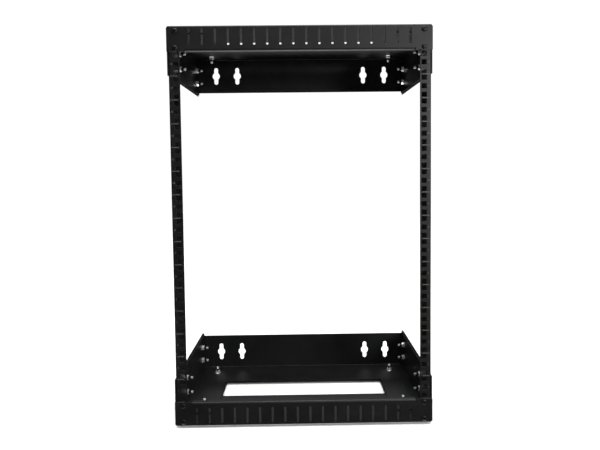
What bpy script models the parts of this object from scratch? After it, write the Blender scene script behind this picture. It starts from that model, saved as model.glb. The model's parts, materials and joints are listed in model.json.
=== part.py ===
# Wall mount rack, 15 units high, for 19 inch equipment: an open frame of folded black sheet.
# The top and the bottom are alike, each a wide front tray with a rear tray nested in it, and two
# perforated posts stand between them. Bright M6 bolts and nuts join the sheets, and black screws
# hold the posts to the slotted front flanges. The rear trays hang on the wall by their keyholes.
# +X is to the right, +Y to the wall, +Z up. The frame stands on the heads of its lowest bolts.
import math

import bmesh
import bpy
from mathutils import Euler, Vector

mm = 0.001

# Driving sizes of the frame
rackUnits = 15
unitHeight = 44.45 * mm
equipmentWidth = 450 * mm
columnBesideOpening = 7.55 * mm
wallBesideColumn = 15.95 * mm
holesPerUnit = 3
firstHole = 6.35 * mm
rackDepth = 304.8 * mm
traySheet = 2 * mm
postSheet = 2 * mm
foldInside = 1 * mm
foldRelief = 0.6 * mm
fitGap = 0.3 * mm

# Front trays, with heights from the outer face of the floor and depths from the flange's face
flangeHeight = 47.625 * mm
lipDepth = 10 * mm
lipFoldInside = 2.5 * mm
lipToPost = 9 * mm
frontWallHeight = 91 * mm
trayToWall = 2.3 * mm
slotPitch = 24.3 * mm
slotWidth = 4 * mm
slotLength = 30.5 * mm
slotEdge = 5.5 * mm
slotEndMargin = 34 * mm
openingBehindPost = 45 * mm
openingToFoot = 11.2 * mm
openingDepth = 73 * mm
openingCorner = 5 * mm

# Rear trays
rearWallHeight = 88 * mm
wallPlateHeight = 83 * mm
rearTrayBehindPost = 2 * mm
notchMargin = 2 * mm
keyholeToSide = 43 * mm
keyholeSpacing = 50.8 * mm
keyholeSlot = 9.5 * mm
keyholeLength = 40 * mm
keyholeEye = 17.5 * mm

# Posts
squareHole = 9.5 * mm
webReach = 90 * mm
footWidth = 58 * mm
footDepth = 40 * mm
postEndGap = 1 * mm

# Bolts, nuts and screws, with places on the trays
threadSize = 6 * mm
holeClearance = 0.3 * mm
boltLength = 20 * mm
boltHead = 11 * mm
boltHeadHeight = 3.3 * mm
screwLength = 8 * mm
screwHead = 10 * mm
screwHeadHeight = 2.4 * mm
outerScrewRow = 9.525 * mm
headRim = 0.9 * mm
headCrown = 0.65
nutFlats = 10 * mm
nutHeight = 6 * mm
nutFlange = 13 * mm
nutRim = 0.8 * mm
nutCone = 0.7 * mm
sideBoltOuter = 36 * mm
sideBoltInner = 66 * mm
sideBoltInset = 12 * mm
floorBoltInset = 8 * mm
floorBoltToSide = 39.2 * mm
rearBoltSetback = 42.8 * mm

# How finely round shapes are cut into flats
foldSteps = 3
cornerSteps = 3
slotSteps = 3
holeSteps = 8
turnSteps = 12
smoothAngle = 35
flatAngle = 0.1

# How far a cutting shape runs past the sheet, and how near two points are the same point.
# Points of joined and cutting shapes keep this many decimals of a metre, so that faces meet flush.
cutMargin = 5 * mm
weldDistance = 0.001 * mm
decimals = 7

# Places that follow from the sizes
flangeSpan = rackUnits * unitHeight
frameHeight = flangeSpan + 2 * flangeHeight
equipmentHalf = equipmentWidth / 2
columnHalf = equipmentHalf + columnBesideOpening
trayHalf = columnHalf + wallBesideColumn
nestHalf = trayHalf - traySheet - fitGap
nestFloor = traySheet + fitGap
trayFold = foldInside + traySheet
postFold = foldInside + postSheet
postFront = traySheet + fitGap
lipHalf = equipmentHalf - lipToPost
footFront = webReach - footDepth
footInner = nestHalf - footWidth
openingHalf = footInner - openingToFoot
openingFront = webReach + openingBehindPost
openingRear = openingFront + openingDepth
rearTrayStart = webReach + rearTrayBehindPost
rearTrayEnd = rackDepth - trayFold
frontTrayEnd = rackDepth - trayToWall
keyholeOuter = nestHalf - keyholeToSide
keyholeInner = keyholeOuter - keyholeSpacing
keyholeCentre = (nestFloor + wallPlateHeight) / 2
floorBoltColumn = nestHalf - floorBoltToSide
holeStep = (unitHeight - 2 * firstHole) / (holesPerUnit - 1)
screwRows = (flangeHeight - firstHole, outerScrewRow)
sideBoltRows = {"outer": sideBoltOuter, "inner": sideBoltInner}
frontSideBolt = webReach - sideBoltInset
frontFloorBolt = webReach - floorBoltInset
rearBolt = rackDepth - rearBoltSetback
shank = threadSize / 2
boltHole = shank + holeClearance
frameLift = boltHeadHeight + fitGap
screwReach = screwHeadHeight + fitGap
flangeFace = (screwReach - rackDepth) / 2


def clearScene():
    for thing in list(bpy.data.objects):
        bpy.data.objects.remove(thing, do_unlink=True)


def makeMaterial(name, colour, roughness, metallic):
    material = bpy.data.materials.new(name)
    material.use_nodes = True
    shader = material.node_tree.nodes["Principled BSDF"]
    shader.inputs["Base Color"].default_value = (*colour, 1)
    shader.inputs["Roughness"].default_value = roughness
    shader.inputs["Metallic"].default_value = metallic
    return material


def arc(x, y, radius, start, end, steps):
    # Points round a centre, both ends included, angles in degrees.
    points = []
    for step in range(steps + 1):
        angle = math.radians(start + (end - start) * step / steps)
        points.append(Vector((x + radius * math.cos(angle), y + radius * math.sin(angle))))
    return points


def rectangle(left, right, low, high):
    return [Vector((left, low)), Vector((right, low)), Vector((right, high)), Vector((left, high))]


def roundedRectangle(left, right, low, high, radius):
    points = arc(right - radius, low + radius, radius, -90, 0, cornerSteps)
    points += arc(right - radius, high - radius, radius, 0, 90, cornerSteps)
    points += arc(left + radius, high - radius, radius, 90, 180, cornerSteps)
    points += arc(left + radius, low + radius, radius, 180, 270, cornerSteps)
    return points


def roundHole(x, y):
    # The flats of the outline lie at the hole's radius, so that the shank keeps its clearance.
    radius = boltHole / math.cos(math.pi / holeSteps)
    return arc(x, y, radius, 0, 360, holeSteps)[:-1]


def slot(x, low, high, width):
    radius = width / 2
    points = arc(x, high - radius, radius, 0, 180, slotSteps)
    points += arc(x, low + radius, radius, 180, 360, slotSteps)
    return points


def keyhole(x, y):
    # A slot with a round eye at its middle, so that a screw head passes whichever way up it hangs.
    reach = keyholeSlot / 2
    eye = keyholeEye / 2
    meet = 90 - math.degrees(math.asin(reach / eye))
    end = keyholeLength / 2 - reach
    points = arc(x, y + end, reach, 0, 180, cornerSteps)
    points += arc(x, y, eye, 180 - meet, 180 + meet, 2 * cornerSteps)
    points += arc(x, y - end, reach, 180, 360, cornerSteps)
    points += arc(x, y, eye, -meet, meet, 2 * cornerSteps)
    return points


def withoutDoubles(points):
    # A fold may start right at the end of a strip, which then gives the same point twice.
    pairs = zip(points, points[1:] + points[:1])
    return [point for point, after in pairs if (after - point).length > weldDistance]


def foldedStrip(corners, sheet, insides):
    # Section of a folded sheet. The corners lie on its outer face, and it turns one way only.
    corners = [Vector(corner) for corner in corners]
    runs = [(after - before).normalized() for before, after in zip(corners, corners[1:])]
    side = 1 if runs[0].cross(runs[1]) > 0 else -1
    inward = [side * Vector((-run.y, run.x)) for run in runs]
    outer = [corners[0]]
    inner = [corners[0] + sheet * inward[0]]
    for number, inside in enumerate(insides):
        outside = inside + sheet
        turn = runs[number].angle(runs[number + 1])
        start = corners[number + 1] - outside * math.tan(turn / 2) * runs[number]
        centre = start + outside * inward[number]
        for step in range(foldSteps + 1):
            angle = turn * step / foldSteps
            ray = math.sin(angle) * runs[number] - math.cos(angle) * inward[number]
            outer.append(centre + outside * ray)
            inner.append(centre + inside * ray)
    outer.append(corners[-1])
    inner.append(corners[-1] + sheet * inward[-1])
    return withoutDoubles(outer + inner[::-1])


def mirrored(outline):
    return [Vector((point.x, -point.y)) for point in outline]


def pointAlong(point, axis, along):
    place = {"X": (along, *point), "Y": (point.x, along, point.y), "Z": (*point, along)}[axis]
    return [round(value, decimals) for value in place]


def addPrism(form, outline, axis, low, high):
    # An outline drawn across one axis and drawn out along it.
    ends = []
    for along in (low, high):
        ends.append([form.verts.new(pointAlong(point, axis, along)) for point in outline])
    near, far = ends
    form.faces.new(near[::-1])
    form.faces.new(far)
    for number in range(len(outline)):
        after = (number + 1) % len(outline)
        form.faces.new((near[number], near[after], far[after], far[number]))


def prismObject(name, prisms):
    # One object from a list of prisms, each an outline, its axis and where it starts and ends.
    form = bmesh.new()
    for outline, axis, low, high in prisms:
        addPrism(form, outline, axis, low, high)
    bmesh.ops.recalc_face_normals(form, faces=form.faces)
    mesh = bpy.data.meshes.new(name)
    form.to_mesh(mesh)
    form.free()
    thing = bpy.data.objects.new(name, mesh)
    bpy.context.scene.collection.objects.link(thing)
    return thing


def applyBoolean(thing, prisms, operation):
    tool = prismObject("tool", prisms)
    modifier = thing.modifiers.new("join or cut", "BOOLEAN")
    modifier.operation = operation
    modifier.solver = "EXACT"
    modifier.object = tool
    graph = bpy.context.evaluated_depsgraph_get()
    mesh = bpy.data.meshes.new_from_object(thing.evaluated_get(graph))
    thing.modifiers.clear()
    thing.data = mesh
    bpy.data.objects.remove(tool, do_unlink=True)


def mergeFlatFaces(mesh):
    form = bmesh.new()
    form.from_mesh(mesh)
    bmesh.ops.remove_doubles(form, verts=form.verts, dist=weldDistance)
    bmesh.ops.dissolve_limit(
        form, angle_limit=math.radians(flatAngle), verts=form.verts, edges=form.edges
    )
    form.to_mesh(mesh)
    form.free()


def shadeSmooth(mesh):
    mesh.shade_smooth()
    mesh.set_sharp_from_angle(angle=math.radians(smoothAngle))


def sheetMesh(name, blank, strips, cuts, reliefs=()):
    # A blank section first, with its reliefs, then the other folded strips, then every cut at once.
    thing = prismObject(name, [blank])
    if reliefs:
        applyBoolean(thing, reliefs, "DIFFERENCE")
    for strip in strips:
        applyBoolean(thing, [strip], "UNION")
    applyBoolean(thing, cuts, "DIFFERENCE")
    mesh = thing.data
    bpy.data.objects.remove(thing, do_unlink=True)
    mergeFlatFaces(mesh)
    shadeSmooth(mesh)
    mesh.name = name
    return mesh


def traySection(half, floor, wallHeight):
    corners = [(-half, wallHeight), (-half, floor), (half, floor), (half, wallHeight)]
    return foldedStrip(corners, traySheet, (foldInside, foldInside))


def sideHoles(y):
    # Two bolt holes, one over the other, through the sheets at both sides of a tray.
    prisms = []
    inside = nestHalf - traySheet - cutMargin
    for row in sideBoltRows.values():
        prisms.append((roundHole(y, row), "X", inside, trayHalf + cutMargin))
        prisms.append((roundHole(y, row), "X", -trayHalf - cutMargin, -inside))
    return prisms


def floorHoles(y):
    top = nestFloor + traySheet + cutMargin
    return [(roundHole(x, y), "Z", -cutMargin, top) for x in (-floorBoltColumn, floorBoltColumn)]


def slotColumns():
    # Slots at an even pitch about the middle, as many as fit between the ends of the flange.
    count = int(2 * (trayHalf - slotEndMargin) / slotPitch) + 1
    return [(number - (count - 1) / 2) * slotPitch for number in range(count)]


def frontTrayMesh():
    # Floor and side walls, with the slotted flange and its lip folded up along the front.
    blank = (traySection(trayHalf, 0, frontWallHeight), "Y", trayFold, frontTrayEnd)
    foldHalf = trayHalf - trayFold - foldRelief
    floorEdge = (trayFold, 0)
    plain = foldedStrip([floorEdge, (0, 0), (0, flangeHeight)], traySheet, (foldInside,))
    lipped = foldedStrip(
        [floorEdge, (0, 0), (0, flangeHeight), (lipDepth, flangeHeight)],
        traySheet,
        (foldInside, lipFoldInside),
    )
    end = rectangle(0, traySheet, 0, flangeHeight)
    strips = [(lipped, "X", -lipHalf, lipHalf)]
    strips += [(plain, "X", lipHalf, foldHalf), (plain, "X", -foldHalf, -lipHalf)]
    strips += [(end, "X", foldHalf, trayHalf), (end, "X", -trayHalf, -foldHalf)]
    cuts = []
    through = (-cutMargin, traySheet + cutMargin)
    for x in slotColumns():
        cuts.append((slot(x, slotEdge, slotEdge + slotLength, slotWidth), "Y", *through))
    for x in (-columnHalf, columnHalf):
        cuts += [(roundHole(x, row), "Y", *through) for row in screwRows]
    opening = roundedRectangle(-openingHalf, openingHalf, openingFront, openingRear, openingCorner)
    cuts.append((opening, "Z", *through))
    cuts += sideHoles(frontSideBolt) + sideHoles(rearBolt)
    cuts += floorHoles(frontFloorBolt) + floorHoles(rearBolt)
    return sheetMesh("front_tray", blank, strips, cuts)


def rearTrayMesh():
    # A shorter tray inside the front one, with the wall plate folded up along its rear edge.
    blank = (traySection(nestHalf, nestFloor, rearWallHeight), "Y", rearTrayStart, rearTrayEnd)
    foldHalf = nestHalf - trayFold - foldRelief
    floorEdge = (rearTrayEnd, nestFloor)
    plate = foldedStrip(
        [floorEdge, (rackDepth, nestFloor), (rackDepth, wallPlateHeight)], traySheet, (foldInside,)
    )
    end = rectangle(rackDepth - traySheet, rackDepth, nestFloor, wallPlateHeight)
    strips = [(plate, "X", -foldHalf, foldHalf)]
    strips += [(end, "X", foldHalf, nestHalf), (end, "X", -nestHalf, -foldHalf)]
    notchHalf = openingHalf + notchMargin
    notch = roundedRectangle(
        -notchHalf, notchHalf, rearTrayStart - 2 * openingCorner, openingRear + notchMargin, openingCorner
    )
    cuts = [(notch, "Z", -cutMargin, nestFloor + traySheet + cutMargin)]
    plateFront = rackDepth - traySheet
    for x in (-keyholeOuter, -keyholeInner, keyholeInner, keyholeOuter):
        cuts.append((keyhole(x, keyholeCentre), "Y", plateFront - cutMargin, rackDepth + cutMargin))
    cuts += sideHoles(rearBolt) + floorHoles(rearBolt)
    return sheetMesh("rear_tray", blank, strips, cuts)


def postMesh():
    # An angle with the square equipment holes in its front face and a foot folded in at each end.
    # It is drawn about its mid height, at the right-hand side of the frame.
    half = frameHeight / 2
    end = half - nestFloor - postEndGap
    corners = [(equipmentHalf, postFront), (nestHalf, postFront), (nestHalf, webReach)]
    blank = (foldedStrip(corners, postSheet, (foldInside,)), "Z", -end, end)
    seat = nestFloor - half
    footCorners = [(nestHalf, seat + postFold), (nestHalf, seat), (footInner, seat)]
    foot = foldedStrip(footCorners, postSheet, (foldInside,))
    relief = rectangle(nestHalf - cutMargin, nestHalf + cutMargin, seat - cutMargin, seat + postFold)
    reliefFront = footFront - foldRelief
    reliefRear = webReach + cutMargin
    reliefs = [(relief, "Y", reliefFront, reliefRear), (mirrored(relief), "Y", reliefFront, reliefRear)]
    strips = [(foot, "Y", footFront, webReach), (mirrored(foot), "Y", footFront, webReach)]
    cuts = []
    reach = squareHole / 2
    throughFace = (postFront - cutMargin, postFront + postSheet + cutMargin)
    throughWeb = (nestHalf - postSheet - cutMargin, nestHalf + cutMargin)
    for unit in range(rackUnits):
        for number in range(holesPerUnit):
            z = unit * unitHeight + firstHole + number * holeStep - flangeSpan / 2
            hole = rectangle(columnHalf - reach, columnHalf + reach, z - reach, z + reach)
            cuts.append((hole, "Y", *throughFace))
    for way in (-1, 1):
        for row in screwRows:
            cuts.append((roundHole(columnHalf, way * (half - row)), "Y", *throughFace))
        for row in sideBoltRows.values():
            cuts.append((roundHole(frontSideBolt, way * (half - row)), "X", *throughWeb))
        ends = (way * half, way * (half - nestFloor - postSheet - cutMargin))
        cuts.append((roundHole(floorBoltColumn, frontFloorBolt), "Z", min(ends), max(ends)))
    return sheetMesh("post", blank, strips, cuts, reliefs)


def roundRing(z, radius):
    return [(*point, z) for point in arc(0, 0, radius, 0, 360, turnSteps)[:-1]]


def hexRing(z, flats):
    # As many points as a round ring, set out along the six flats.
    points = []
    for number in range(turnSteps):
        angle = 2 * math.pi * number / turnSteps
        offset = angle % (math.pi / 3) - math.pi / 6
        radius = flats / 2 / math.cos(offset)
        points.append((radius * math.cos(angle), radius * math.sin(angle), z))
    return points


def turnedMesh(name, rings, bored=False):
    # Rings joined one to the next. A bored piece closes on itself, a solid one has flat ends.
    form = bmesh.new()
    loops = [[form.verts.new(point) for point in ring] for ring in rings]
    pairs = list(zip(loops, loops[1:]))
    if bored:
        pairs.append((loops[-1], loops[0]))
    else:
        form.faces.new(loops[0])
        form.faces.new(loops[-1])
    for before, after in pairs:
        for number in range(turnSteps):
            beside = (number + 1) % turnSteps
            form.faces.new((before[number], before[beside], after[beside], after[number]))
    bmesh.ops.recalc_face_normals(form, faces=form.faces)
    mesh = bpy.data.meshes.new(name)
    form.to_mesh(mesh)
    form.free()
    shadeSmooth(mesh)
    return mesh


def headRings(width, height):
    # A low domed head over the sheet, which lies at the height of nought.
    rings = [roundRing(-height, headCrown * width / 2)]
    rings += [roundRing(-headRim, width / 2), roundRing(0, width / 2), roundRing(0, shank)]
    return rings


def nutRings(seat):
    # The outside of a hexagon nut with a flange, from its seat up.
    rings = [roundRing(seat, nutFlange / 2), roundRing(seat + nutRim, nutFlange / 2)]
    rings.append(hexRing(seat + nutRim + nutCone, nutFlats))
    rings.append(hexRing(seat + nutHeight, nutFlats))
    return rings


def screwMesh(name, width, height, length):
    return turnedMesh(name, headRings(width, height) + [roundRing(length, shank)])


def nutMesh():
    bore = boltHole / math.cos(math.pi / turnSteps)
    rings = [roundRing(0, bore)] + nutRings(0) + [roundRing(nutHeight, bore)]
    return turnedMesh("nut", rings, bored=True)


def floorBoltMesh(name, secondSheet):
    # A bolt with its nut run down on two sheets, as one piece.
    seat = fitGap + traySheet + fitGap + secondSheet + fitGap
    rings = headRings(boltHead, boltHeadHeight) + [roundRing(seat, shank)] + nutRings(seat)
    rings += [roundRing(seat + nutHeight, shank), roundRing(boltLength, shank)]
    return turnedMesh(name, rings)


def framePoint(x, y, height, level):
    # A place on a tray: its height counts from the outer face of that tray's floor.
    z = height if level == "bottom" else frameHeight - height
    return (x, flangeFace + y, frameLift + z)


def placeObject(name, mesh, material, location, turn=(0, 0, 0)):
    if not mesh.materials:
        mesh.materials.append(material)
    thing = bpy.data.objects.new(name, mesh)
    thing.location = location
    thing.rotation_euler = Euler([math.radians(angle) for angle in turn])
    bpy.context.scene.collection.objects.link(thing)


def placeTrays(material):
    frontMesh = frontTrayMesh()
    rearMesh = rearTrayMesh()
    for level, turn in (("bottom", (0, 0, 0)), ("top", (0, 180, 0))):
        origin = framePoint(0, 0, 0, level)
        placeObject(f"{level}_front_tray", frontMesh, material, origin, turn)
        placeObject(f"{level}_rear_tray", rearMesh, material, origin, turn)


def placePosts(material):
    # Both posts are the same piece, the left one turned end for end.
    mesh = postMesh()
    middle = framePoint(0, 0, frameHeight / 2, "bottom")
    placeObject("right_post", mesh, material, middle)
    placeObject("left_post", mesh, material, middle, (0, 180, 0))


def frameCorners():
    # The four corners of the frame: its level, its side and the sign of X there.
    return [(level, *side) for level in ("bottom", "top") for side in (("left", -1), ("right", 1))]


def placeSideBolts(material):
    # Heads outside, nuts inside: at the front over the post's web, at the rear over the rear tray.
    bolt = screwMesh("side_bolt", boltHead, boltHeadHeight, boltLength)
    nut = nutMesh()
    stations = {"front": (frontSideBolt, postSheet), "rear": (rearBolt, traySheet)}
    for level, side, way in frameCorners():
        turn = (0, -90 * way, 0)
        for station, (y, innerSheet) in stations.items():
            for row, height in sideBoltRows.items():
                place = f"{level}_{side}_{station}_{row}"
                headSeat = framePoint(way * (trayHalf + fitGap), y, height, level)
                nutSeat = framePoint(way * (nestHalf - innerSheet - fitGap), y, height, level)
                placeObject(f"side_bolt_{place}", bolt, material, headSeat, turn)
                placeObject(f"side_nut_{place}", nut, material, nutSeat, turn)


def placeFloorBolts(material):
    # At the front through the posts' feet, at the rear through the rear trays.
    front = floorBoltMesh("front_floor_bolt", postSheet)
    rear = floorBoltMesh("rear_floor_bolt", traySheet)
    for level, side, way in frameCorners():
        turn = (0, 0 if level == "bottom" else 180, 0)
        x = way * floorBoltColumn
        place = f"floor_bolt_{level}_{side}"
        frontSeat = framePoint(x, frontFloorBolt, -fitGap, level)
        placeObject(f"{place}_front", front, material, frontSeat, turn)
        placeObject(f"{place}_rear", rear, material, framePoint(x, rearBolt, -fitGap, level), turn)


def placeFlangeScrews(material):
    mesh = screwMesh("flange_screw", screwHead, screwHeadHeight, screwLength)
    for level, side, way in frameCorners():
        for row, height in zip(("inner", "outer"), screwRows):
            seat = framePoint(way * columnHalf, -fitGap, height, level)
            placeObject(f"flange_screw_{level}_{side}_{row}", mesh, material, seat, (-90, 0, 0))


def main():
    clearScene()
    blackCoat = makeMaterial("black powder coat", (0.014, 0.014, 0.015), 0.5, 0)
    brightZinc = makeMaterial("bright zinc", (0.72, 0.73, 0.74), 0.28, 1)
    blackZinc = makeMaterial("black zinc", (0.025, 0.025, 0.027), 0.35, 0.8)
    placeTrays(blackCoat)
    placePosts(blackCoat)
    placeSideBolts(brightZinc)
    placeFloorBolts(brightZinc)
    placeFlangeScrews(blackZinc)


main()
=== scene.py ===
import json
import math

import bmesh
import bpy
from mathutils import Matrix, Vector

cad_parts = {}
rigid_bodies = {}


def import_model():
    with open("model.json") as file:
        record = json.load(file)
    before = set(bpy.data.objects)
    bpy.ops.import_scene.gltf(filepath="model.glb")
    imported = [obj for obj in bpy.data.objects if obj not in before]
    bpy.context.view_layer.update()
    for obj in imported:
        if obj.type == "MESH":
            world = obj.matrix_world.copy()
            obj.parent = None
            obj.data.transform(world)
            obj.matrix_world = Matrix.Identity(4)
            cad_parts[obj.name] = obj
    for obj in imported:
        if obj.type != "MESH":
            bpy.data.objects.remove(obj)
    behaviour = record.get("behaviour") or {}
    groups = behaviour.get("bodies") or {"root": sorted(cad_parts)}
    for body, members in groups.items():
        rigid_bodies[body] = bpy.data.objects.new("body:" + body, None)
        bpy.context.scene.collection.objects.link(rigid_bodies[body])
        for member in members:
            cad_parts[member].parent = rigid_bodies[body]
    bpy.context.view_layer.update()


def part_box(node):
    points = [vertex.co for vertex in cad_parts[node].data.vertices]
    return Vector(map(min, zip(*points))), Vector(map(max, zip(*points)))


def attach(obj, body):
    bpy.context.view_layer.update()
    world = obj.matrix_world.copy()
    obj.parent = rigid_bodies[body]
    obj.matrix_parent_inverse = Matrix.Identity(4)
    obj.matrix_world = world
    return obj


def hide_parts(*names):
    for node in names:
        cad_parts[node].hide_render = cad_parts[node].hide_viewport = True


for thing in list(bpy.data.objects):
    bpy.data.objects.remove(thing, do_unlink=True)

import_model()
print("Frame loaded")

mm = 0.001
levels = ("bottom", "top")
sides = {"left": -1, "right": 1}


def addObject(name, data):
    thing = bpy.data.objects.new(name, data)
    bpy.context.scene.collection.objects.link(thing)
    return thing


# Materials

def linearColour(code):
    # An sRGB hex colour turned to linear, as Blender's sockets take it.
    channels = [int(code[start:start + 2], 16) / 255 for start in (1, 3, 5)]
    linear = [c / 12.92 if c <= 0.04045 else ((c + 0.055) / 1.055) ** 2.4 for c in channels]
    return (*linear, 1)


def addNode(tree, kind, settings=(), **links):
    # Settings that name a socket go to the socket, the others to the node. A link is a (node, output)
    # pair, under the socket's name without spaces or, where two share a name, its identifier.
    node = tree.nodes.new(kind)
    for name, value in dict(settings).items():
        if name in node.inputs:
            node.inputs[name].default_value = value
        else:
            setattr(node, name, value)
    for name, (source, output) in links.items():
        sockets = [s for s in node.inputs if s.enabled and name in (s.name.replace(" ", ""), s.identifier)]
        tree.links.new(source.outputs[output], sockets[0])
    return node


def newMaterial(name):
    material = bpy.data.materials.new(name)
    material.use_nodes = True
    tree = material.node_tree
    return material, tree, tree.nodes["Principled BSDF"], addNode(tree, "ShaderNodeTexCoord")


def perMetre(millimetres):
    # Noise scale that gives blotches about this far apart.
    return 1 / (millimetres * mm)


coat = {
    "dark": "#060607",
    "light": "#0c0c0d",
    "cloud": 45,
    "cloudStops": (0.35, 0.65),
    "peel": 2.2,
    "peelHeight": 0.12,
    "peelStrength": 0.35,
    "grain": 0.9,
    "grainHeight": 0.05,
    "grainStrength": 0.25,
    "roughness": (0.42, 0.5),
    "ior": 1.5,
}


def powderCoat():
    # Baked polyester powder on steel: near black, a soft broad sheen broken up by a fine orange peel.
    material, tree, shader, place = newMaterial("black powder coat")
    cloud = addNode(tree, "ShaderNodeTexNoise", {"Scale": perMetre(coat["cloud"]), "Detail": 3},
                    Vector=(place, "Object"))
    ramp = addNode(tree, "ShaderNodeValToRGB", Fac=(cloud, "Fac"))
    ramp.color_ramp.elements[0].position = coat["cloudStops"][0]
    ramp.color_ramp.elements[0].color = linearColour(coat["dark"])
    ramp.color_ramp.elements[1].position = coat["cloudStops"][1]
    ramp.color_ramp.elements[1].color = linearColour(coat["light"])
    peel = addNode(tree, "ShaderNodeTexNoise", {"Scale": perMetre(coat["peel"]), "Detail": 2},
                   Vector=(place, "Object"))
    # The powder's own grain is under 0.1 mm. It is drawn coarser, so that it shows.
    grain = addNode(tree, "ShaderNodeTexNoise", {"Scale": perMetre(coat["grain"]), "Detail": 1},
                    Vector=(place, "Object"))
    sheen = addNode(tree, "ShaderNodeMapRange",
                    {"To Min": coat["roughness"][0], "To Max": coat["roughness"][1]},
                    Value=(peel, "Fac"))
    waves = addNode(tree, "ShaderNodeBump",
                    {"Strength": coat["peelStrength"], "Distance": coat["peelHeight"] * mm},
                    Height=(peel, "Fac"))
    bumps = addNode(tree, "ShaderNodeBump",
                    {"Strength": coat["grainStrength"], "Distance": coat["grainHeight"] * mm},
                    Height=(grain, "Fac"), Normal=(waves, "Normal"))
    shader.inputs["IOR"].default_value = coat["ior"]
    tree.links.new(ramp.outputs["Color"], shader.inputs["Base Color"])
    tree.links.new(sheen.outputs["Result"], shader.inputs["Roughness"])
    tree.links.new(bumps.outputs["Normal"], shader.inputs["Normal"])
    return material


# Colours for the thread between the nut and the tip, darker than the plain zinc: painted shade.
thread = {
    "dark": "#2c2d2e",
    "light": "#56585a",
    "patch": 1,
    "roughness": 0.4,
}


def oiledThread():
    # Zinc on the thread, coloured darker than the plain zinc as painted shade. This dark neck parts the nut
    # from the tip.
    material, tree, shader, place = newMaterial("thread zinc with painted shade")
    patch = addNode(tree, "ShaderNodeTexNoise", {"Scale": perMetre(thread["patch"]), "Detail": 3},
                    Vector=(place, "Object"))
    ramp = addNode(tree, "ShaderNodeValToRGB", Fac=(patch, "Fac"))
    ramp.color_ramp.elements[0].color = linearColour(thread["dark"])
    ramp.color_ramp.elements[1].color = linearColour(thread["light"])
    shader.inputs["Metallic"].default_value = 1
    shader.inputs["Roughness"].default_value = thread["roughness"]
    tree.links.new(ramp.outputs["Color"], shader.inputs["Base Color"])
    return material


zinc = {
    "pale": "#dddedc",
    "dull": "#c0c2c4",
    "blotch": 2.5,
    "blotchStops": (0.38, 0.62),
    "blotchHeight": 0.03,
    "blotchStrength": 0.2,
    "roughness": (0.22, 0.4),
    "metallic": 0.72,
}


def brightZinc():
    # Zinc plated and clear passivated steel: a bright cool metal, milky where the passivation is thick.
    material, tree, shader, place = newMaterial("bright zinc plated steel")
    blotch = addNode(tree, "ShaderNodeTexNoise", {"Scale": perMetre(zinc["blotch"]), "Detail": 4},
                     Vector=(place, "Object"))
    ramp = addNode(tree, "ShaderNodeValToRGB", Fac=(blotch, "Fac"))
    ramp.color_ramp.elements[0].position = zinc["blotchStops"][0]
    ramp.color_ramp.elements[0].color = linearColour(zinc["dull"])
    ramp.color_ramp.elements[1].position = zinc["blotchStops"][1]
    ramp.color_ramp.elements[1].color = linearColour(zinc["pale"])
    sheen = addNode(tree, "ShaderNodeMapRange",
                    {"To Min": zinc["roughness"][1], "To Max": zinc["roughness"][0]},
                    Value=(blotch, "Fac"))
    bumps = addNode(tree, "ShaderNodeBump",
                    {"Strength": zinc["blotchStrength"], "Distance": zinc["blotchHeight"] * mm},
                    Height=(blotch, "Fac"))
    shader.inputs["Metallic"].default_value = zinc["metallic"]
    tree.links.new(ramp.outputs["Color"], shader.inputs["Base Color"])
    tree.links.new(sheen.outputs["Result"], shader.inputs["Roughness"])
    tree.links.new(bumps.outputs["Normal"], shader.inputs["Normal"])
    return material


oxide = {
    "dark": "#08080a",
    "light": "#121214",
    "blotch": 1.5,
    "roughness": (0.36, 0.46),
    "metallic": 0.3,
}


def blackZinc():
    # Black passivated zinc on steel: as dark as the coat round it, a little glossier on its curves.
    material, tree, shader, place = newMaterial("black zinc plated steel")
    blotch = addNode(tree, "ShaderNodeTexNoise", {"Scale": perMetre(oxide["blotch"]), "Detail": 3},
                     Vector=(place, "Object"))
    ramp = addNode(tree, "ShaderNodeValToRGB", Fac=(blotch, "Fac"))
    ramp.color_ramp.elements[0].color = linearColour(oxide["dark"])
    ramp.color_ramp.elements[1].color = linearColour(oxide["light"])
    sheen = addNode(tree, "ShaderNodeMapRange",
                    {"To Min": oxide["roughness"][0], "To Max": oxide["roughness"][1]},
                    Value=(blotch, "Fac"))
    shader.inputs["Metallic"].default_value = oxide["metallic"]
    tree.links.new(ramp.outputs["Color"], shader.inputs["Base Color"])
    tree.links.new(sheen.outputs["Result"], shader.inputs["Roughness"])
    return material


ink = {
    "full": "#565655",
    "thin": "#373737",
    "patch": 0.6,
    "patchStops": (0.3, 0.5),
    "roughness": 0.65,
}


def printedInk():
    # Screen-printed epoxy ink: grey and flat, thinner where the coat's peel stands up through it.
    material, tree, shader, place = newMaterial("grey screen ink")
    patch = addNode(tree, "ShaderNodeTexNoise", {"Scale": perMetre(ink["patch"]), "Detail": 2},
                    Vector=(place, "Object"))
    ramp = addNode(tree, "ShaderNodeValToRGB", Fac=(patch, "Fac"))
    ramp.color_ramp.elements[0].position = ink["patchStops"][0]
    ramp.color_ramp.elements[0].color = linearColour(ink["thin"])
    ramp.color_ramp.elements[1].position = ink["patchStops"][1]
    ramp.color_ramp.elements[1].color = linearColour(ink["full"])
    shader.inputs["Roughness"].default_value = ink["roughness"]
    tree.links.new(ramp.outputs["Color"], shader.inputs["Base Color"])
    return material


coatMaterial = powderCoat()
threadShadeMaterial = oiledThread()
zincMaterial = brightZinc()
oxideMaterial = blackZinc()
inkMaterial = printedInk()
print("Materials made")


# Outlines and folded sections, in millimetres

sheet = {
    "thickness": 2,
    "foldInside": 1,
    "relief": 0.6,
    "fitGap": 0.3,
    "boltHole": 6.6,
    "edgeRound": 0.3,
    "edgeSegments": 2,
    "edgeAngle": 35,
}
sheetFold = sheet["thickness"] + sheet["foldInside"]

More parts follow.
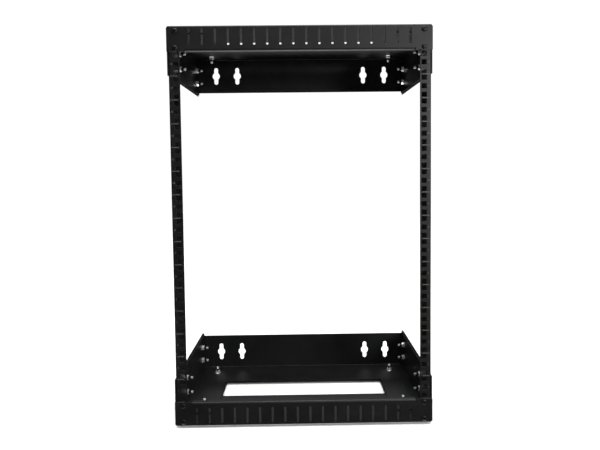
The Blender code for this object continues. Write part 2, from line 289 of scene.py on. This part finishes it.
# How far a cutting shape runs past the sheet, how near two points are the same point, on sheets and
# on fine metal and ink, and how many degrees apart two faces are still one flat
cutMargin = 5
samePoint = 0.001
sameFinePoint = 0.0005
flatAngle = 0.1


def arc(x, y, radius, start, end, steps):
    points = []
    for step in range(steps + 1):
        angle = math.radians(start + (end - start) * step / steps)
        points.append(Vector((x + radius * math.cos(angle), y + radius * math.sin(angle))))
    return points


def rectangle(left, right, low, high):
    return [Vector((left, low)), Vector((right, low)), Vector((right, high)), Vector((left, high))]


def roundedRectangle(left, right, low, high, radius, steps=6):
    points = arc(right - radius, low + radius, radius, -90, 0, steps)
    points += arc(right - radius, high - radius, radius, 0, 90, steps)
    points += arc(left + radius, high - radius, radius, 90, 180, steps)
    points += arc(left + radius, low + radius, radius, 180, 270, steps)
    return points


def boltHole(x, y, steps=24):
    return arc(x, y, sheet["boltHole"] / 2, 0, 360, steps)[:-1]


def slotOutline(x, low, high, width, steps=8):
    radius = width / 2
    points = arc(x, high - radius, radius, 0, 180, steps)
    points += arc(x, low + radius, radius, 180, 360, steps)
    return points


def keyholeOutline(x, y, slotWidth, length, eyeWidth, steps=8):
    # A slot with a round eye at its middle.
    reach = slotWidth / 2
    eye = eyeWidth / 2
    meet = 90 - math.degrees(math.asin(reach / eye))
    end = length / 2 - reach
    points = arc(x, y + end, reach, 0, 180, steps)
    points += arc(x, y, eye, 180 - meet, 180 + meet, steps)
    points += arc(x, y - end, reach, 180, 360, steps)
    points += arc(x, y, eye, -meet, meet, steps)
    return points


def mirrored(outline):
    return [Vector((point.x, -point.y)) for point in outline]


def foldedStrip(corners, insides, steps=6):
    # Section of a folded sheet. The corners lie on its outer face, and it turns one way only.
    thickness = sheet["thickness"]
    corners = [Vector(corner) for corner in corners]
    runs = [(after - before).normalized() for before, after in zip(corners, corners[1:])]
    side = 1 if runs[0].cross(runs[1]) > 0 else -1
    inward = [side * Vector((-run.y, run.x)) for run in runs]
    outer = [corners[0]]
    inner = [corners[0] + thickness * inward[0]]
    for number, inside in enumerate(insides):
        outside = inside + thickness
        turn = runs[number].angle(runs[number + 1])
        start = corners[number + 1] - outside * math.tan(turn / 2) * runs[number]
        centre = start + outside * inward[number]
        for step in range(steps + 1):
            angle = turn * step / steps
            ray = math.sin(angle) * runs[number] - math.cos(angle) * inward[number]
            outer.append(centre + outside * ray)
            inner.append(centre + inside * ray)
    outer.append(corners[-1])
    inner.append(corners[-1] + thickness * inward[-1])
    points = outer + inner[::-1]
    pairs = zip(points, points[1:] + points[:1])
    return [point for point, after in pairs if (after - point).length > samePoint]


def pointAlong(point, axis, along):
    if axis == "X":
        return (along, point.x, point.y)
    if axis == "Y":
        return (point.x, along, point.y)
    return (point.x, point.y, along)


def across(place):
    # Start and end of a cut through a sheet that lies here.
    return (place - cutMargin, place + cutMargin)


def prismObject(name, prisms):
    # Each prism is an outline, the axis it is drawn along and where it starts and ends.
    form = bmesh.new()
    for outline, axis, low, high in prisms:
        near = [form.verts.new(pointAlong(point, axis, low)) for point in outline]
        far = [form.verts.new(pointAlong(point, axis, high)) for point in outline]
        form.faces.new(near[::-1])
        form.faces.new(far)
        for number in range(len(outline)):
            after = (number + 1) % len(outline)
            form.faces.new((near[number], near[after], far[after], far[number]))
    bmesh.ops.recalc_face_normals(form, faces=form.faces)
    mesh = bpy.data.meshes.new(name)
    form.to_mesh(mesh)
    form.free()
    return addObject(name, mesh)


def joinOrCut(thing, tool, operation):
    modifier = thing.modifiers.new("join or cut", "BOOLEAN")
    modifier.operation = operation
    modifier.solver = "EXACT"
    modifier.object = tool
    graph = bpy.context.evaluated_depsgraph_get()
    mesh = bpy.data.meshes.new_from_object(thing.evaluated_get(graph))
    thing.modifiers.clear()
    thing.data = mesh
    bpy.data.objects.remove(tool, do_unlink=True)


def mergeFlats(mesh):
    form = bmesh.new()
    form.from_mesh(mesh)
    bmesh.ops.remove_doubles(form, verts=form.verts, dist=samePoint)
    bmesh.ops.dissolve_limit(
        form, angle_limit=math.radians(flatAngle), verts=form.verts, edges=form.edges
    )
    form.to_mesh(mesh)
    form.free()


def sheetMesh(name, blank, strips, cuts, reliefs=()):
    # A folded blank with its corner reliefs, then the other strips, then all the holes at once.
    thing = prismObject(name, [blank])
    if reliefs:
        joinOrCut(thing, prismObject("reliefs", reliefs), "DIFFERENCE")
    for strip in strips:
        joinOrCut(thing, prismObject("strip", [strip]), "UNION")
    joinOrCut(thing, prismObject("cuts", cuts), "DIFFERENCE")
    mesh = thing.data
    bpy.data.objects.remove(thing, do_unlink=True)
    mergeFlats(mesh)
    mesh.transform(Matrix.Scale(mm, 4))
    mesh.name = name
    return mesh


def roundEdges(thing):
    # Edges of punched sheet, softened by the tumbling and by the coat that runs round them.
    bevel = thing.modifiers.new("rounded edges", "BEVEL")
    bevel.width = sheet["edgeRound"] * mm
    bevel.segments = sheet["edgeSegments"]
    bevel.limit_method = "ANGLE"
    bevel.angle_limit = math.radians(sheet["edgeAngle"])
    bevel.use_clamp_overlap = False
    # The full weight goes to the large faces, so that they stay flat up to their rounded edges.
    flats = thing.modifiers.new("flat faces kept flat", "WEIGHTED_NORMAL")
    flats.weight = 100
    thing.data.shade_smooth()


def addPiece(name, mesh, material, node, origin, turn=(0, 0, 0)):
    if not mesh.materials:
        mesh.materials.append(material)
    thing = addObject(name, mesh)
    thing.location = origin
    thing.rotation_euler = [math.radians(angle) for angle in turn]
    bpy.context.view_layer.update()
    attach(thing, "root")
    if node:
        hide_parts(node)
    return thing


# Trays, heights from the outer face of the floor, depths from the face of the front flange

rows = {
    "holeColumns": 465.1,
    "unitHeight": 44.45,
    "units": 15,
    "holesPerUnit": 3,
    "firstHole": 6.35,
    "sideBolts": (36, 66),
    "frontSideBolt": 78,
    "frontFloorBolt": 82,
    "rearBolt": 262,
    "floorBoltColumn": 207,
}

frontTray = {
    "width": 497,
    "end": 302.5,
    "wallHeight": 91,
    "flangeHeight": 47.625,
    "foldSteps": 8,
    "lipDepth": 10,
    "lipFoldInside": 2.5,
    "lipHalf": 216,
    "slots": 18,
    "slotPitch": 24.3,
    "slotWidth": 4,
    "slotLength": 30.5,
    "slotEdge": 5.5,
    "openingHalf": 177,
    "openingFront": 135,
    "openingRear": 208,
    "openingCorner": 5,
}
columnHalf = rows["holeColumns"] / 2
screwRows = (
    frontTray["flangeHeight"] - rows["firstHole"],
    frontTray["flangeHeight"] + rows["firstHole"] - rows["unitHeight"],
)


def traySection(half, floor, wallHeight):
    corners = [(-half, wallHeight), (-half, floor), (half, floor), (half, wallHeight)]
    return foldedStrip(corners, (sheet["foldInside"],) * 2)


def sideHoles(y, half):
    prisms = []
    for row in rows["sideBolts"]:
        prisms += [(boltHole(y, row), "X", *across(wall)) for wall in (half, -half)]
    return prisms


def floorHoles(y):
    column = rows["floorBoltColumn"]
    return [(boltHole(x, y), "Z", *across(0)) for x in (-column, column)]


def frontTrayMesh():
    half = frontTray["width"] / 2
    flange = frontTray["flangeHeight"]
    relief = sheet["relief"]
    foldHalf = half - sheetFold - relief
    lipHalf = frontTray["lipHalf"]
    blank = (traySection(half, 0, frontTray["wallHeight"]), "Y", sheetFold, frontTray["end"])
    corners = [(sheetFold, 0), (0, 0), (0, flange), (frontTray["lipDepth"], flange)]
    insides = (sheet["foldInside"], frontTray["lipFoldInside"])
    plain = foldedStrip(corners[:-1], insides[:-1], frontTray["foldSteps"])
    lipped = foldedStrip(corners, insides, frontTray["foldSteps"])
    tab = rectangle(0, sheet["thickness"], 0, flange)
    strips = [(lipped, "X", -lipHalf, lipHalf)]
    strips += [(plain, "X", lipHalf, foldHalf), (plain, "X", -foldHalf, -lipHalf)]
    strips += [(tab, "X", foldHalf, half), (tab, "X", -half, -foldHalf)]
    # Reliefs beside the lip, then in both corners under the tabs.
    lipFoot = flange - sheet["thickness"] - frontTray["lipFoldInside"] - relief
    lipReliefs = [(lipHalf, lipHalf + relief), (-lipHalf - relief, -lipHalf)]
    cuts = [(rectangle(*ends, lipFoot, flange + cutMargin), "Y", *across(0)) for ends in lipReliefs]
    notch = sheetFold + relief
    for ends in ((foldHalf, half + cutMargin), (-half - cutMargin, -foldHalf)):
        cuts.append((rectangle(*ends, -cutMargin, notch), "Z", -cutMargin, notch))
    low = frontTray["slotEdge"]
    high = low + frontTray["slotLength"]
    for number in range(frontTray["slots"]):
        x = (number - (frontTray["slots"] - 1) / 2) * frontTray["slotPitch"]
        cuts.append((slotOutline(x, low, high, frontTray["slotWidth"]), "Y", *across(0)))
    for x in (-columnHalf, columnHalf):
        cuts += [(boltHole(x, row), "Y", *across(0)) for row in screwRows]
    reach = frontTray["openingHalf"]
    opening = roundedRectangle(
        -reach, reach, frontTray["openingFront"], frontTray["openingRear"], frontTray["openingCorner"]
    )
    cuts.append((opening, "Z", *across(0)))
    cuts += sideHoles(rows["frontSideBolt"], half) + sideHoles(rows["rearBolt"], half)
    cuts += floorHoles(rows["frontFloorBolt"]) + floorHoles(rows["rearBolt"])
    return sheetMesh("front tray", blank, strips, cuts)


rearTray = {
    "half": 246.2,
    "floor": 2.3,
    "start": 92,
    "end": 304.8,
    "wallHeight": 88,
    "plateHeight": 83,
    "notchMargin": 2,
    "notchCorner": 5,
    "weldSink": 0.7,
    "weldHeight": 4.4,
    "keyholes": (152.4, 203.2),
    "keyholeSlot": 9.5,
    "keyholeLength": 40,
    "keyholeEye": 17.5,
}


def rearTrayMesh():
    half = rearTray["half"]
    floor = rearTray["floor"]
    end = rearTray["end"]
    high = rearTray["plateHeight"]
    foldHalf = half - sheetFold - sheet["relief"]
    blank = (traySection(half, floor, rearTray["wallHeight"]), "Y", rearTray["start"], end - sheetFold)
    corners = [(end - sheetFold, floor), (end, floor), (end, high)]
    plate = foldedStrip(corners, (sheet["foldInside"],))
    tab = rectangle(end - sheet["thickness"], end, floor + sheetFold + sheet["relief"], high)
    strips = [(plate, "X", -foldHalf, foldHalf)]
    strips += [(tab, "X", foldHalf, half), (tab, "X", -half, -foldHalf)]
    # A bead of weld closes the corner, a little under the sheet's own faces.
    sink = rearTray["weldSink"]
    back = end - sink
    for way in (1, -1):
        ends = sorted((way * (foldHalf - sink), way * (half - sink)))
        bead = rectangle(*ends, back - sheetFold, back)
        strips.append((bead, "Z", floor + sink, floor + rearTray["weldHeight"]))
    # The notch's front corners lie clear of the sheet.
    notchHalf = frontTray["openingHalf"] + rearTray["notchMargin"]
    notchFront = rearTray["start"] - cutMargin - rearTray["notchCorner"]
    notchRear = frontTray["openingRear"] + rearTray["notchMargin"]
    notch = roundedRectangle(-notchHalf, notchHalf, notchFront, notchRear, rearTray["notchCorner"])
    cuts = [(notch, "Z", *across(floor))]
    keyholeCentre = (floor + high) / 2
    for column in rearTray["keyholes"]:
        for x in (-column, column):
            keyhole = keyholeOutline(
                x, keyholeCentre, rearTray["keyholeSlot"], rearTray["keyholeLength"], rearTray["keyholeEye"]
            )
            cuts.append((keyhole, "Y", *across(end)))
    cuts += sideHoles(rows["rearBolt"], half) + floorHoles(rows["rearBolt"])
    return sheetMesh("rear tray", blank, strips, cuts)


for trayMesh, kind in ((frontTrayMesh, "front_tray"), (rearTrayMesh, "rear_tray")):
    mesh = trayMesh()
    for level in levels:
        low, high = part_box(f"{level}_front_tray")
        place = (0, low.y, low.z if level == "bottom" else high.z)
        turn = (0, 0 if level == "bottom" else 180, 0)
        node = f"{level}_{kind}"
        roundEdges(addPiece(f"{node}_sheet", mesh, coatMaterial, node, place, turn))
print("Trays folded")


post = {
    "inner": 225,
    "outer": 246.2,
    "front": 2.3,
    "webReach": 90,
    "footInner": 188.2,
    "footFront": 50,
    "endGap": 1,
    "squareHole": 9.5,
    "squareCorner": 0.4,
}
flangeSpan = rows["units"] * rows["unitHeight"]
frameHeight = flangeSpan + 2 * frontTray["flangeHeight"]


def postMesh():
    # Drawn about its mid height, at the right-hand side of the frame.
    half = frameHeight / 2
    seat = sheet["thickness"] + sheet["fitGap"] - half
    end = -seat - post["endGap"]
    front = post["front"]
    outer = post["outer"]
    reach = post["webReach"]
    insides = (sheet["foldInside"],)
    blank = (foldedStrip([(post["inner"], front), (outer, front), (outer, reach)], insides), "Z", -end, end)
    foot = foldedStrip([(outer, seat + sheetFold), (outer, seat), (post["footInner"], seat)], insides)
    relief = rectangle(*across(outer), seat - cutMargin, seat + sheetFold)
    reliefFront = post["footFront"] - sheet["relief"]
    reliefs = [(outline, "Y", reliefFront, reach + cutMargin) for outline in (relief, mirrored(relief))]
    strips = [(outline, "Y", post["footFront"], reach) for outline in (foot, mirrored(foot))]
    cuts = []
    hole = post["squareHole"] / 2
    step = (rows["unitHeight"] - 2 * rows["firstHole"]) / (rows["holesPerUnit"] - 1)
    for unit in range(rows["units"]):
        for number in range(rows["holesPerUnit"]):
            z = unit * rows["unitHeight"] + rows["firstHole"] + number * step - flangeSpan / 2
            square = roundedRectangle(
                columnHalf - hole, columnHalf + hole, z - hole, z + hole, post["squareCorner"], steps=2
            )
            cuts.append((square, "Y", *across(front)))
    for way in (-1, 1):
        for row in screwRows:
            cuts.append((boltHole(columnHalf, way * (half - row)), "Y", *across(front)))
        for row in rows["sideBolts"]:
            side = boltHole(rows["frontSideBolt"], way * (half - row))
            cuts.append((side, "X", *across(outer)))
        ends = sorted((way * half, -way * (seat + sheet["thickness"] + cutMargin)))
        cuts.append((boltHole(rows["floorBoltColumn"], rows["frontFloorBolt"]), "Z", *ends))
    return sheetMesh("post", blank, strips, cuts, reliefs)


mesh = postMesh()
for side in sides:
    node = f"{side}_post"
    low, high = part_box(node)
    place = (0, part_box("bottom_front_tray")[0].y, (low.z + high.z) / 2)
    turn = (0, 0 if side == "right" else 180, 0)
    roundEdges(addPiece(f"{node}_sheet", mesh, coatMaterial, node, place, turn))
print("Posts folded")


# Fasteners, in millimetres, along +Z from the face that their head or flange sits on

fastener = {
    "thread": 6,
    "pitch": 1,
    "threadDepth": 0.55,
    "pointsPerPitch": 4,
    "collarSlope": 1.5,
    "boltLength": 20,
    "brightTip": 4,
    "boltHead": (11, 3.3),
    "headRim": 0.8,
    "headEdge": 0.15,
    "headCrown": 4,
    "headSteps": 8,
    "crossWidth": 6,
    "crossBlade": 1.3,
    "crossDepth": 2.2,
    "crossTaper": (1.15, 0.5),
    "screwLength": 8,
    "screwHead": (10, 2.4),
    "socket": 4,
    "socketDepth": 1.5,
    "toolMargin": 0.5,
    "skin": 0.01,
    "sharpAngle": 32,
    "turnSteps": 36,
}
turnSteps = fastener["turnSteps"]
shank = fastener["thread"] / 2

# The flange's profile is in pairs: height over the seat, and how far inside the rim.
nut = {
    "flats": 10,
    "height": 6,
    "bore": 6.4,
    "boreEdge": 0.35,
    "bite": 0.2,
    "flange": 13,
    "flangeProfile": ((0, 0.2), (0.2, 0), (0.7, 0), (1, 0.35)),
    "hexagonFoot": 1.55,
    "crown": 0.96,
    "crownAngle": 30,
}


def ring(z, radius):
    # One radius all round, or a function of the angle. The height may be a function too.
    points = []
    for number in range(turnSteps):
        angle = 2 * math.pi * number / turnSteps
        r = radius(angle) if callable(radius) else radius
        height = z(angle) if callable(z) else z
        points.append((r * math.cos(angle), r * math.sin(angle), height))
    return points


def hexRadius(flats):
    def radius(angle):
        return flats / 2 / math.cos(angle % (math.pi / 3) - math.pi / 6)
    return radius


def skinRings(form, rings, close=False):
    loops = [[form.verts.new(point) for point in points] for points in rings]
    pairs = list(zip(loops, loops[1:]))
    if close:
        pairs.append((loops[-1], loops[0]))
    for before, after in pairs:
        for number in range(turnSteps):
            beside = (number + 1) % turnSteps
            form.faces.new((before[number], before[beside], after[beside], after[number]))
    return loops


def headRings(width, height):
    # A low dome, an ellipse in section, over a short straight rim. It ends at the shank under it.
    rim = fastener["headRim"]
    edge = fastener["headEdge"]
    crown = fastener["headCrown"]
    rings = []
    for step in range(fastener["headSteps"] + 1):
        angle = math.radians(crown + (90 - crown) * step / fastener["headSteps"])
        rings.append(ring(-rim - (height - rim) * math.cos(angle), width / 2 * math.sin(angle)))
    rings += [ring(-edge, width / 2), ring(0, width / 2 - edge), ring(0, shank)]
    return rings


def addThread(form, start, end):
    # Rows of points that climb one pitch a turn, between a plain collar and a chamfered tip.
    depth = fastener["threadDepth"]
    pitch = fastener["pitch"]
    perPitch = fastener["pointsPerPitch"]
    rowCount = int((end - start) / pitch * perPitch) + 2 * perPitch

    def vertex(row, column):
        z = start + pitch * (row / perPitch - 1 + column / turnSteps)
        phase = row / perPitch % 1
        r = shank - depth * (1 - abs(2 * phase - 1))
        z = min(max(z, start), end)
        r = max(r, shank - fastener["collarSlope"] * (z - start))
        r = min(r, shank - depth + end - z)
        angle = 2 * math.pi * column / turnSteps
        return form.verts.new((r * math.cos(angle), r * math.sin(angle), z))

    grid = [[vertex(row, column) for column in range(turnSteps + 1)] for row in range(rowCount)]
    for lower, upper in zip(grid, grid[1:]):
        for number in range(turnSteps):
            form.faces.new((lower[number], lower[number + 1], upper[number + 1], upper[number]))
    tip = [form.verts.new(point) for point in ring(end, shank - depth)]
    form.faces.new(tip)


def closedMesh(name, form):
    bmesh.ops.remove_doubles(form, verts=form.verts, dist=sameFinePoint)
    bmesh.ops.dissolve_degenerate(form, dist=sameFinePoint, edges=form.edges)
    bmesh.ops.recalc_face_normals(form, faces=form.faces)
    mesh = bpy.data.meshes.new(name)
    form.to_mesh(mesh)
    form.free()
    return mesh


def crossOutline(scale):
    arm = fastener["crossWidth"] / 2 * scale
    blade = fastener["crossBlade"] / 2 * scale
    quarter = [(blade, blade), (blade, arm), (-blade, arm)]
    points = []
    for turn in range(4):
        spin = Matrix.Rotation(turn * math.pi / 2, 2)
        points += [spin @ Vector(point) for point in quarter]
    return points


def taperedTool(name, wide, narrow, top, bottom):
    form = bmesh.new()
    upper = [form.verts.new((point.x, point.y, top)) for point in wide]
    lower = [form.verts.new((point.x, point.y, bottom)) for point in narrow]
    form.faces.new(upper)
    form.faces.new(lower[::-1])
    for number in range(len(wide)):
        after = (number + 1) % len(wide)
        form.faces.new((upper[number], lower[number], lower[after], upper[after]))
    return addObject(name, closedMesh(name, form))


def crossTool():
    top = -fastener["boltHead"][1]
    wide, narrow = [crossOutline(scale) for scale in fastener["crossTaper"]]
    return taperedTool("cross", wide, narrow, top - fastener["toolMargin"], top + fastener["crossDepth"])


def socketTool():
    top = -fastener["screwHead"][1]
    outline = [Vector(point[:2]) for point in ring(0, hexRadius(fastener["socket"]))]
    return taperedTool(
        "socket", outline, outline, top - fastener["toolMargin"], top + fastener["socketDepth"]
    )


def nutMesh(seat, bore):
    # A hexagon with its corners turned off at the top, on a round flange.
    edge = nut["boreEdge"]
    top = seat + nut["height"]
    hexagon = hexRadius(nut["flats"])
    crown = nut["flats"] / 2 * nut["crown"]
    slope = math.tan(math.radians(nut["crownAngle"]))
    rings = [ring(seat, bore / 2 + edge)]
    rings += [ring(seat + height, nut["flange"] / 2 - inset) for height, inset in nut["flangeProfile"]]
    rings.append(ring(seat + nut["hexagonFoot"], hexagon))
    rings.append(ring(lambda angle: top - (hexagon(angle) - crown) * slope, hexagon))
    rings += [ring(top, crown), ring(top, bore / 2 + edge)]
    rings += [ring(top - edge, bore / 2), ring(seat + edge, bore / 2)]
    form = bmesh.new()
    skinRings(form, rings, close=True)
    return closedMesh("nut", form)


def darkenThread(mesh, metal, start, end):
    # Thread faces between start and end take the darker zinc, which is painted shade. The tip's last turns
    # and all else keep the plain metal.
    mesh.materials.clear()
    mesh.materials.append(metal)
    mesh.materials.append(threadShadeMaterial)
    for face in mesh.polygons:
        centre = face.center
        if start < centre.z < end and math.hypot(centre.x, centre.y) < shank + fastener["skin"]:
            face.material_index = 1


def finishMetal(mesh):
    mesh.transform(Matrix.Scale(mm, 4))
    mesh.shade_smooth()
    mesh.set_sharp_from_angle(angle=math.radians(fastener["sharpAngle"]))
    return mesh


def screwMesh(name, metal, head, length, tool, nutSeat=None):
    form = bmesh.new()
    loops = skinRings(form, headRings(*head))
    form.faces.new(loops[0])
    addThread(form, 0, length)
    thing = addObject(name, closedMesh(name, form))
    joinOrCut(thing, tool, "DIFFERENCE")
    if nutSeat is not None:
        # The nut bites into the thread, so that the two are one closed skin.
        bore = fastener["thread"] - 2 * fastener["threadDepth"] - nut["bite"]
        joinOrCut(thing, addObject("nut", nutMesh(nutSeat, bore)), "UNION")
    mesh = thing.data
    bpy.data.objects.remove(thing, do_unlink=True)
    darkenThread(mesh, metal, shank, length - fastener["brightTip"])
    return finishMetal(mesh)


boltHead = fastener["boltHead"]
boltLength = fastener["boltLength"]
headHeight = boltHead[1] * mm
floorNutSeat = 3 * sheet["fitGap"] + 2 * sheet["thickness"]
sideBolt = screwMesh("side bolt", zincMaterial, boltHead, boltLength, crossTool())
floorBolt = screwMesh("floor bolt", zincMaterial, boltHead, boltLength, crossTool(), floorNutSeat)
flangeScrew = screwMesh(
    "flange screw", oxideMaterial, fastener["screwHead"], fastener["screwLength"], socketTool()
)
sideNut = finishMetal(nutMesh(0, nut["bore"]))


def addBright(node, mesh, place, turn):
    addPiece(f"{node}_metal", mesh, zincMaterial, node, place, turn)


for level in levels:
    for side, way in sides.items():
        for station in ("front", "rear"):
            turn = (0, -90 * way, 0)
            for row in ("outer", "inner"):
                node = f"side_bolt_{level}_{side}_{station}_{row}"
                low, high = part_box(node)
                centre = (low + high) / 2
                seat = (high.x if way > 0 else low.x) - way * headHeight
                addBright(node, sideBolt, (seat, centre.y, centre.z), turn)
                node = f"side_nut_{level}_{side}_{station}_{row}"
                low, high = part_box(node)
                seat = high.x if way > 0 else low.x
                addBright(node, sideNut, (seat, centre.y, centre.z), turn)
            node = f"floor_bolt_{level}_{side}_{station}"
            low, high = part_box(node)
            centre = (low + high) / 2
            upward = level == "bottom"
            seat = low.z + headHeight if upward else high.z - headHeight
            addBright(node, floorBolt, (centre.x, centre.y, seat), (0, 0 if upward else 180, 0))
        for row in ("inner", "outer"):
            node = f"flange_screw_{level}_{side}_{row}"
            low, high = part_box(node)
            centre = (low + high) / 2
            place = (centre.x, low.y + fastener["screwHead"][1] * mm, centre.z)
            addPiece(f"{node}_metal", flangeScrew, oxideMaterial, node, place, (-90, 0, 0))
print("Fasteners turned")


# Unit numbers and lines, printed on the posts' front faces

marks = {
    "column": 241.1,
    "numberSize": 4.4,
    "lineStart": 230,
    "lineEnd": 244,
    "lineWidth": 0.7,
    "inkThickness": 0.05,
}


def numberMesh(number):
    curve = bpy.data.curves.new("number", "FONT")
    curve.body = str(number)
    curve.size = marks["numberSize"]
    curve.align_x = "CENTER"
    curve.align_y = "CENTER"
    curve.extrude = marks["inkThickness"] / 2
    thing = addObject("number", curve)
    graph = bpy.context.evaluated_depsgraph_get()
    mesh = bpy.data.meshes.new_from_object(thing.evaluated_get(graph))
    bpy.data.objects.remove(thing, do_unlink=True)
    return mesh


def markMesh(side, way):
    # Numbers count units from the bottom. Lines part one unit from the next.
    form = bmesh.new()
    stand = Matrix.Rotation(math.radians(90), 4, "X")
    for unit in range(rows["units"]):
        z = (unit + 0.5) * rows["unitHeight"] - flangeSpan / 2
        place = Matrix.Translation((way * marks["column"], 0, z))
        mesh = numberMesh(unit + 1)
        mesh.transform(place @ stand)
        form.from_mesh(mesh)
    for boundary in range(rows["units"] + 1):
        z = boundary * rows["unitHeight"] - flangeSpan / 2
        ends = sorted((way * marks["lineStart"], way * marks["lineEnd"]))
        place = Matrix.Translation((sum(ends) / 2, 0, z))
        size = Matrix.Diagonal((ends[1] - ends[0], marks["inkThickness"], marks["lineWidth"], 1))
        bmesh.ops.create_cube(form, size=1, matrix=place @ size)
    mesh = closedMesh(f"{side} marks", form)
    mesh.transform(Matrix.Scale(mm, 4))
    return mesh


for side, way in sides.items():
    low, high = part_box(f"{side}_post")
    place = (0, low.y - marks["inkThickness"] / 2 * mm, (low.z + high.z) / 2)
    addPiece(f"{side}_post_marks", markMesh(side, way), inkMaterial, None, place)
print("Marks printed")


# Studio: a pale floor, soft light from above, from the right and from behind, and the camera. Places and
# sizes are in metres.

studio = {
    "floor": "#f4f4f2",
    "floorSize": 12,
    "floorRoughness": 0.8,
    "fibre": 6,
    "fibreHeight": 0.05,
    "fibreStrength": 0.05,
    "backdrop": 1.05,
    "glow": 11.5,
    "glowWay": (0, 0.25, -0.97),
    "glowPower": 9,
    "sky": 4,
    "skyAngle": 160,
    "lamps": {
        "overhead": {"place": (0.2, -0.4, 2.6), "target": (0, 0, 0.3), "size": (2.4, 1.8), "watts": 74},
        "right, front": {"place": (1.5, -2.4, 1), "target": (0.1, 0, 0.5), "size": (0.8, 0.8), "watts": 35},
        "behind": {"place": (0, 3, 1.7), "target": (0, 0, 0.2), "size": (3, 0.8), "watts": 7.5},
    },
}


def makeFloor():
    form = bmesh.new()
    bmesh.ops.create_grid(form, x_segments=1, y_segments=1, size=studio["floorSize"] / 2)
    mesh = bpy.data.meshes.new("floor")
    form.to_mesh(mesh)
    form.free()
    material, tree, shader, place = newMaterial("pale seamless paper")
    fibre = addNode(tree, "ShaderNodeTexNoise", {"Scale": perMetre(studio["fibre"]), "Detail": 4},
                    Vector=(place, "Object"))
    bumps = addNode(tree, "ShaderNodeBump",
                    {"Strength": studio["fibreStrength"], "Distance": studio["fibreHeight"] * mm},
                    Height=(fibre, "Fac"))
    shader.inputs["Base Color"].default_value = linearColour(studio["floor"])
    shader.inputs["Roughness"].default_value = studio["floorRoughness"]
    tree.links.new(bumps.outputs["Normal"], shader.inputs["Normal"])
    mesh.materials.append(material)
    floor = addObject("floor", mesh)
    floor.visible_glossy = False


def makeWorld():
    # White paper to the eye. What lights the frame is a glow from below and a little behind, as the paper
    # there gives, and it fades to nothing at the level of the frame.
    world = bpy.data.worlds.new("studio")
    bpy.context.scene.world = world
    world.use_nodes = True
    tree = world.node_tree
    paper = tree.nodes["Background"]
    paper.inputs["Color"].default_value = (1, 1, 1, 1)
    paper.inputs["Strength"].default_value = studio["backdrop"]
    way = addNode(tree, "ShaderNodeTexCoord")
    along = addNode(tree, "ShaderNodeVectorMath", {"operation": "DOT_PRODUCT"}, Vector=(way, "Generated"))
    along.inputs[1].default_value = Vector(studio["glowWay"]).normalized()
    ahead = addNode(tree, "ShaderNodeMath", {"operation": "MAXIMUM"}, Value=(along, "Value"))
    ahead.inputs[1].default_value = 0
    fade = addNode(tree, "ShaderNodeMath", {"operation": "POWER"}, Value=(ahead, "Value"))
    fade.inputs[1].default_value = studio["glowPower"]
    strength = addNode(tree, "ShaderNodeMath", {"operation": "MULTIPLY"}, Value=(fade, "Value"))
    strength.inputs[1].default_value = studio["glow"]
    glow = addNode(tree, "ShaderNodeBackground", {"Color": (1, 1, 1, 1)}, Strength=(strength, "Value"))
    rays = addNode(tree, "ShaderNodeLightPath")
    mix = addNode(tree, "ShaderNodeMixShader", Fac=(rays, "Is Camera Ray"),
                  Shader=(glow, "Background"), Shader_001=(paper, "Background"))
    tree.links.new(mix.outputs["Shader"], tree.nodes["World Output"].inputs["Surface"])


def makeSky():
    # Light from all over the ceiling, too even to be seen in a sheen. It keeps the paper white.
    light = bpy.data.lights.new("sky", "SUN")
    light.energy = studio["sky"]
    light.angle = math.radians(studio["skyAngle"])
    sky = addObject("sky", light)
    sky.visible_glossy = False
    sky.visible_camera = False


def makeLamp(name, place, target, size, watts):
    light = bpy.data.lights.new(name, "AREA")
    light.shape = "RECTANGLE"
    light.size, light.size_y = size
    light.energy = watts
    lamp = addObject(name, light)
    lamp.location = place
    lamp.rotation_euler = (Vector(target) - Vector(place)).to_track_quat("-Z", "Y").to_euler()
    lamp.visible_camera = False


makeFloor()
makeWorld()
makeSky()
for name, lamp in studio["lamps"].items():
    makeLamp(name, **lamp)
bpy.context.scene.view_settings.view_transform = "Standard"

# Lengths in metres, the lens and its sensor in millimetres, angles in degrees.
view = {
    "place": (-0.0009, -1.1687, 0.499),
    "focalLength": 32.345,
    "sensorWidth": 36,
    "pitch": -2.98,
    "yaw": -0.722,
    "roll": -0.63,
    "shift": (-0.0128, -0.0481),
    "clip": (0.01, 100),
}
cameraData = bpy.data.cameras.new("camera")
cameraData.lens = view["focalLength"]
cameraData.sensor_width = view["sensorWidth"]
cameraData.shift_x, cameraData.shift_y = view["shift"]
cameraData.clip_start, cameraData.clip_end = view["clip"]
camera = addObject("camera", cameraData)
camera.location = view["place"]
camera.rotation_euler = [math.radians(a) for a in (90 + view["pitch"], -view["roll"], view["yaw"])]
bpy.context.scene.camera = camera
print("Studio set")
